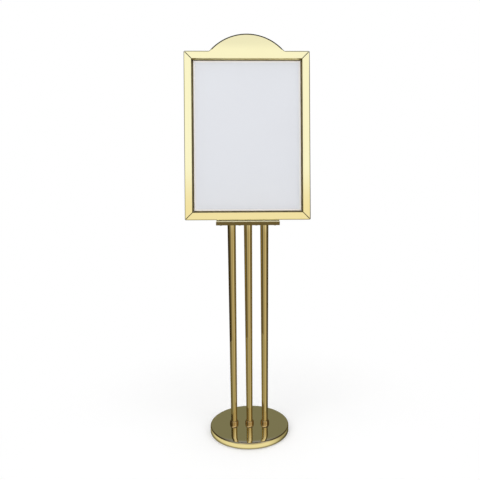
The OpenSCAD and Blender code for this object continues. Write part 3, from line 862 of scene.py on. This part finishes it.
def softenCover(side):  # the lip's upper band, which keeps the plain gold, the mitre strips, and the two kinds of edge that get painted shade
    selectParts("FACE", isLip)
    bpy.ops.mesh.bisect(plane_co=frameFoot + upward * (frameHeight - covers["topLipFrom"]), plane_no=upward)
    cutMitreStrips(side)
    selectParts("EDGE", isMitreEdge)
    bpy.ops.mesh.bevel(offset=covers["mitreEdge"], segments=covers["mitreSteps"], affect="EDGES",
                       clamp_overlap=True)
    selectParts("EDGE", isCrestEdge)
    bpy.ops.mesh.bevel(offset=covers["crestEdge"], segments=covers["crestSteps"], affect="EDGES",
                       clamp_overlap=False)


def coverFinish(face, side):  # 0 is the plain gold, 1 the lip's painted shade, 2 the edges' painted shade and 3 the crest's gold with its painted shade
    fromSide, fromEnd = fromSides(face.center)
    inward = min(fromSide, fromEnd)
    inFront = facing(face) > facings["front"]
    if inFront and inward > covers["topLipFrom" if side == "top" else "lipFrom"]:
        return 1
    if inFront and abs(fromSide - fromEnd) < covers["mitreStrip"] and inward > covers["mitreFrom"]:
        return 2
    if side == "top" and facing(face) > facings["flat"]:
        return 3
    onCrest = inFrame(face.center).z > frameHeight + nearly["crest"]
    if onCrest and facings["edge"] < facing(face) < facings["flat"]:
        return 2
    return 0


def makeCover(side):
    cover = dressNode("cover_" + side, "cover" + side.capitalize(), side + "_cover", goldFace,
                      covers["edge"], covers["edgeSteps"], shape=lambda: softenCover(side))
    for material in [paintedShadeLip, paintedEdgeShade] + ([crestFace] if side == "top" else []):
        cover.data.materials.append(material)
    for face in cover.data.polygons:
        face.material_index = coverFinish(face, side)


for side in ("top", "bottom", "left", "right"):
    makeCover(side)
print("covers modelled")


# fasteners and the parts inside the frame, base and poles

bigScrew = {"headRadius": 0.0038, "headHeight": 0.0022, "shankRadius": 0.002, "sides": 40,
            "socketRadius": 0.0016, "socketDepth": 0.0012, "edge": 0.0003}
keyScrew = {"headRadius": 0.0028, "headHeight": 0.0016, "shankRadius": 0.0015, "sides": 40,
            "socketRadius": 0.0012, "socketDepth": 0.0009, "edge": 0.0002}


def looseParts(node):  # the corner points of each separate solid of a CAD node
    shape = bmesh.new()
    shape.from_mesh(frame["nodes"][node].data)
    bmesh.ops.remove_doubles(shape, verts=shape.verts, dist=cadMesh["merge"])
    seen = set()
    parts = []
    for first in shape.verts:
        if first in seen:
            continue
        seen.add(first)
        reached = [first]
        points = []
        while reached:
            vertex = reached.pop()
            points.append(vertex.co.copy())
            for edge in vertex.link_edges:
                other = edge.other_vert(vertex)
                if other not in seen:
                    seen.add(other)
                    reached.append(other)
        parts.append(points)
    shape.free()
    return parts


def startOf(points, axis):  # the middle of a screw's outer end
    side = axis.orthogonal().normalized()
    place = axis * min(point.dot(axis) for point in points)
    for direction in (side, axis.cross(side)):
        reach = [point.dot(direction) for point in points]
        place += direction * (min(reach) + max(reach)) / 2
    return place


def makeScrew(size, length):  # head down, with a hexagon socket
    deselectAll()
    bpy.ops.mesh.primitive_cylinder_add(vertices=size["sides"], radius=size["headRadius"],
                                        depth=size["headHeight"], location=(0, 0, size["headHeight"] / 2))
    screw = bpy.context.object
    bpy.ops.object.transform_apply(location=True)
    bpy.ops.object.mode_set(mode="EDIT")
    selectParts("FACE", lambda face: face.normal.z > straight)
    bpy.ops.mesh.inset(thickness=size["headRadius"] - size["shankRadius"])
    shank = (0, 0, length - size["headHeight"])
    bpy.ops.mesh.extrude_region_move(TRANSFORM_OT_translate={"value": shank})
    deselectAll()
    bpy.ops.mesh.primitive_cylinder_add(vertices=6, radius=size["socketRadius"],
                                        depth=2 * size["socketDepth"], location=(0, 0, 0))
    cutter = bpy.context.object
    socket = screw.modifiers.new("socket", "BOOLEAN")
    socket.operation = "DIFFERENCE"
    socket.solver = "EXACT"
    socket.object = cutter
    applyModifiers(screw)
    bpy.data.objects.remove(cutter)
    bevelEdges(screw, size["edge"], segments=3)
    return screw


def makeScrews(node, name, axis, size):  # one screw, then a copy at each place
    parts = looseParts(node)
    reach = [point.dot(axis) for point in parts[0]]
    model = makeScrew(size, max(reach) - min(reach))
    turn = Vector((0, 0, 1)).rotation_difference(axis).to_matrix().to_4x4()
    copies = []
    for points in parts:
        copied = model.copy()
        copied.data = model.data.copy()
        bpy.context.scene.collection.objects.link(copied)
        copied.matrix_world = Matrix.Translation(startOf(points, axis)) @ turn
        copies.append(copied)
    bpy.data.objects.remove(model)
    activate(copies[0])
    for copied in copies:
        copied.select_set(True)
    bpy.ops.object.join()
    finishPiece(copies[0], name, "stand", [zincSteel], [node])


makeScrews("head_screws", "headScrews", Vector((0, 0, 1)), bigScrew)
makeScrews("frame_screws", "frameScrews", -backward, bigScrew)
makeScrews("key_screws", "keyScrews", backward, keyScrew)

for side in ("left", "center", "right"):
    dressNode("tie_rod_" + side, "tieRod" + side.capitalize(), "stand", zincThread,
              bevel=0.0006)
for node, name, width in (("foot_plugs", "footPlugs", 0.0005), ("top_plugs", "topPlugs", 0.0005),
                          ("base_nuts", "baseNuts", 0.0006), ("head_nuts", "headNuts", 0.0006),
                          ("base_washers", "baseWashers", 0.0003), ("head_washers", "headWashers", 0.0003),
                          ("corner_keys", "cornerKeys", 0.0003), ("nut_strip", "nutStrip", 0.0003)):
    dressNode(node, name, "stand", zincSteel, bevel=width, segments=3)
dressNode("cover_springs", "coverSprings", "stand", springSteel, bevel=0.0001)
dressNode("back_panel", "backPanel", "stand", backBoard, bevel=0.0004)
print("fasteners and inner parts modelled")


# insert sheet, a plain field inside a narrow paler margin, and the clear sheet before it

insert = {"margin": 0.0418}
clearSheet = {"gap": 0.00015, "edge": 0.0003}


def sheetSpan(node):  # width, front, back and foot of a sheet, in the leaning frame
    corners = [inFrame(vertex.co) for vertex in frame["nodes"][node].data.vertices]
    return (2 * max(corner.x for corner in corners), min(corner.y for corner in corners),
            max(corner.y for corner in corners), min(corner.z for corner in corners))


def addSheet(width, front, back, foot):
    deselectAll()
    bpy.ops.mesh.primitive_cube_add(size=1, location=(0, 0, 0))
    sheet = bpy.context.object
    sheet.scale = (width, back - front, frameHeight - 2 * foot)
    bpy.ops.object.transform_apply(scale=True)
    sheet.rotation_euler = (-lean, 0, 0)
    sheet.location = frameFoot + backward * (front + back) / 2 + upward * frameHeight / 2
    bpy.context.view_layer.update()
    return sheet


def makeInsert():
    sheet = addSheet(*sheetSpan("insert_sheet"))
    bpy.ops.object.mode_set(mode="EDIT")
    half = frameWidth / 2 - insert["margin"]
    rise = frameHeight / 2 - insert["margin"]
    for place, normal in (((-half, 0, 0), (1, 0, 0)), ((half, 0, 0), (1, 0, 0)),
                          ((0, 0, -rise), (0, 0, 1)), ((0, 0, rise), (0, 0, 1))):
        selectParts("FACE", lambda face: face.normal.y < -straight)
        bpy.ops.mesh.bisect(plane_co=sheet.matrix_world @ Vector(place),
                            plane_no=sheet.matrix_world.to_3x3() @ Vector(normal))
    bpy.ops.object.mode_set(mode="OBJECT")
    finishPiece(sheet, "insertSheet", "stand", [insertMargin, insertField], ["insert_sheet"])
    for face in sheet.data.polygons:
        if facing(face) > straight and min(fromSides(face.center)) > insert["margin"]:
            face.material_index = 1


def makeClearSheet():
    width, front, back, foot = sheetSpan("clear_sheet")
    sheet = addSheet(width, front, back - clearSheet["gap"], foot)
    bevelEdges(sheet, clearSheet["edge"])
    finishPiece(sheet, "clearSheet", "stand", [clearPlastic], ["clear_sheet"])


makeInsert()
makeClearSheet()
print("sheets modelled")
